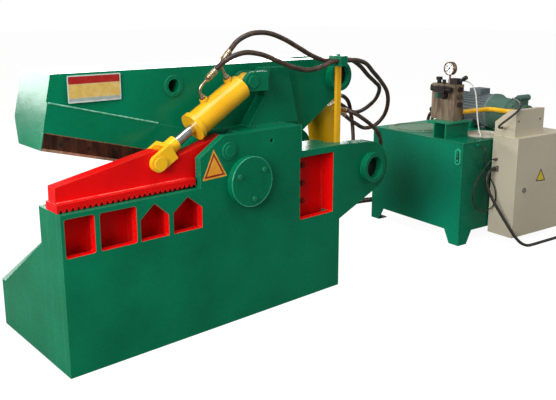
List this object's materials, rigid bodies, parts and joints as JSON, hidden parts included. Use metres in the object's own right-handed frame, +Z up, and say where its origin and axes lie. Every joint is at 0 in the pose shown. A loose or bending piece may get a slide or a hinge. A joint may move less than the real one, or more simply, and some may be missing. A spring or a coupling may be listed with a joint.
{
  "type": "scrap metal shear",
  "caption": "Hydraulic alligator shear for scrap metal with pivoting upper blade arm, toothed hold-down, hoses, oil tank power unit and switch cabinet.",
  "frame": {"origin": "middle of the shear frame's underside, on the floor", "axes": "+X from the open jaw to the tail and the power unit, +Y from the toothed hold-down side to the chute side, +Z up"},
  "size_m": [4.479, 1.8999, 1.5977],
  "materials": {
    "beige_paint": "satin powder coat",
    "blade_steel": "ground tool steel",
    "block_steel": "browned steel",
    "bright_steel": "turned and ground",
    "bronze": "machined",
    "cable_rubber": "cable sheath",
    "dark_steel": "blackened",
    "green_paint": "gloss enamel",
    "green_plastic": "moulded",
    "grey_green_paint": "satin enamel",
    "hose_rubber": "hose cover",
    "needle_paint": "matt",
    "red_paint": "gloss enamel",
    "red_plastic": "moulded",
    "switch_plastic": "moulded",
    "white_tube": "translucent tube",
    "yellow_paint": "gloss enamel",
    "zinc_plate": "zinc plated"
  },
  "bodies": {
    "frame": {"near_side_plate": "green_paint", "inner_jaw_plate": "green_paint", "far_side_plate": "green_paint", "base_box": "green_paint", "holddown_bracket": "green_paint", "window_plates": "red_paint", "frame_bolts": "dark_steel", "lower_blade": "blade_steel", "pivot_shaft": "bright_steel", "pivot_covers": "green_paint", "frame_pins": "green_paint", "hose_post": "yellow_paint", "hose_clamp": "green_paint", "holddown_hose_front": "hose_rubber", "holddown_hose_rear": "hose_rubber", "main_hose_outer": "hose_rubber", "main_hose_inner": "hose_rubber", "supply_hose_pressure": "hose_rubber", "supply_hose_return": "hose_rubber", "oil_tank": "green_paint", "tank_covers": "beige_paint", "manifold_block": "block_steel", "control_valves": "dark_steel", "pressure_gauge": "zinc_plate", "motor_housing": "grey_green_paint", "bell_housing": "grey_green_paint", "hydraulic_pump": "grey_green_paint", "delivery_pipe": "yellow_paint", "drain_tube": "white_tube", "cabinet_box": "beige_paint", "switchgear": "switch_plastic", "control_console": "beige_paint", "mains_cable": "cable_rubber", "mains_coil": "cable_rubber", "mains_plug": "red_plastic", "motor_cable": "cable_rubber", "sensor_cable": "cable_rubber"},
    "arm": {"upper_arm": "green_paint", "upper_blade": "blade_steel", "upper_blade_bolts": "dark_steel", "arm_bush": "bronze", "tail_pin": "bright_steel"},
    "main_barrel": {"main_barrel": "yellow_paint", "main_gland": "yellow_paint", "main_port_tees": "zinc_plate"},
    "main_rod": {"main_rod": "bright_steel"},
    "holddown": {"holddown_arm": "red_paint", "clevis_pin": "yellow_paint"},
    "holddown_barrel": {"holddown_barrel": "yellow_paint", "holddown_gland": "yellow_paint", "holddown_elbows": "zinc_plate"},
    "holddown_rod": {"holddown_rod": "bright_steel", "holddown_clevis": "yellow_paint"},
    "needle": {"gauge_needle": "needle_paint"},
    "relief_knob": {"relief_knob": "dark_steel"},
    "rotor": {"motor_rotor": "bright_steel"},
    "door": {"cabinet_door": "beige_paint"},
    "door_lock": {"door_lock": "zinc_plate"},
    "start_button": {"start_button": "green_plastic"},
    "emergency_stop": {"emergency_stop": "red_plastic"}
  },
  "joints": [
    {"name": "shear_stroke", "type": "hinge", "parent": "frame", "child": "arm", "pos_m": [0.18, 0, 0.793], "axis": [0, -1, 0], "range_deg": [0, 15.4]},
    {"name": "main_barrel_swing", "type": "hinge", "parent": "frame", "child": "main_barrel", "pos_m": [1.178, 0, 0.727], "axis": [0, -1, 0], "range_deg": [-0.2, 10], "deforming": ["main_hose_outer", "main_hose_inner", "supply_hose_pressure", "supply_hose_return"]},
    {"name": "main_rod_slide", "type": "slide", "parent": "main_barrel", "child": "main_rod", "axis": [-0.1441, 0, 0.9896], "range_m": [-0.003, 0.275]},
    {"name": "holddown_lift", "type": "hinge", "parent": "frame", "child": "holddown", "pos_m": [0.051, -0.3135, 0.975], "axis": [0, 1, 0], "range_deg": [0, 18]},
    {"name": "holddown_barrel_swing", "type": "hinge", "parent": "frame", "child": "holddown_barrel", "pos_m": [0.255, -0.3135, 1.325], "axis": [0, 1, 0], "range_deg": [-0.2, 10], "deforming": ["holddown_hose_front", "holddown_hose_rear"]},
    {"name": "holddown_rod_slide", "type": "slide", "parent": "holddown_barrel", "child": "holddown_rod", "axis": [0.8569, 0, 0.5155], "range_m": [-0.002, 0.08]},
    {"name": "gauge_needle_turn", "type": "hinge", "parent": "frame", "child": "needle", "pos_m": [2.31926, -0.17401, 1.278], "axis": [-0.9936, 0.1132, 0], "range_deg": [0, 260], "stiffness_Nm_per_rad": 0.002},
    {"name": "relief_knob_turn", "type": "hinge", "parent": "frame", "child": "relief_knob", "pos_m": [2.30297, -0.2728, 1.187], "axis": [-0.098, -0.8605, 0.5], "range_deg": [-180, 180]},
    {"name": "motor_spin", "type": "hinge", "parent": "frame", "child": "rotor", "pos_m": [2.84833, -0.25643, 0.915], "axis": [0.1132, 0.9936, 0], "continuous": true},
    {"name": "door_swing", "type": "hinge", "parent": "frame", "child": "door", "pos_m": [2.99218, -0.78713, 0.4], "axis": [0, 0, 1], "range_deg": [0, 110]},
    {"name": "door_lock_turn", "type": "hinge", "parent": "door", "child": "door_lock", "pos_m": [2.49324, -0.74941, 0.414], "axis": [-0.1132, -0.9936, 0], "range_deg": [0, 90]},
    {"name": "start_press", "type": "slide", "parent": "frame", "child": "start_button", "axis": [-0.0694, -0.6091, -0.79], "range_m": [0, 0.003], "stiffness_N_per_m": 600},
    {"name": "emergency_stop_press", "type": "slide", "parent": "frame", "child": "emergency_stop", "axis": [-0.0694, -0.6091, -0.79], "range_m": [0, 0.005]}
  ],
  "couplings": [
    {"joint": "main_barrel_swing", "follows": "shear_stroke", "ratio": 0.5992},
    {"joint": "main_rod_slide", "follows": "shear_stroke", "m_per_rad": 0.9606},
    {"joint": "holddown_barrel_swing", "follows": "holddown_lift", "ratio": 0.5011},
    {"joint": "holddown_rod_slide", "follows": "holddown_lift", "m_per_rad": 0.2174}
  ]
}
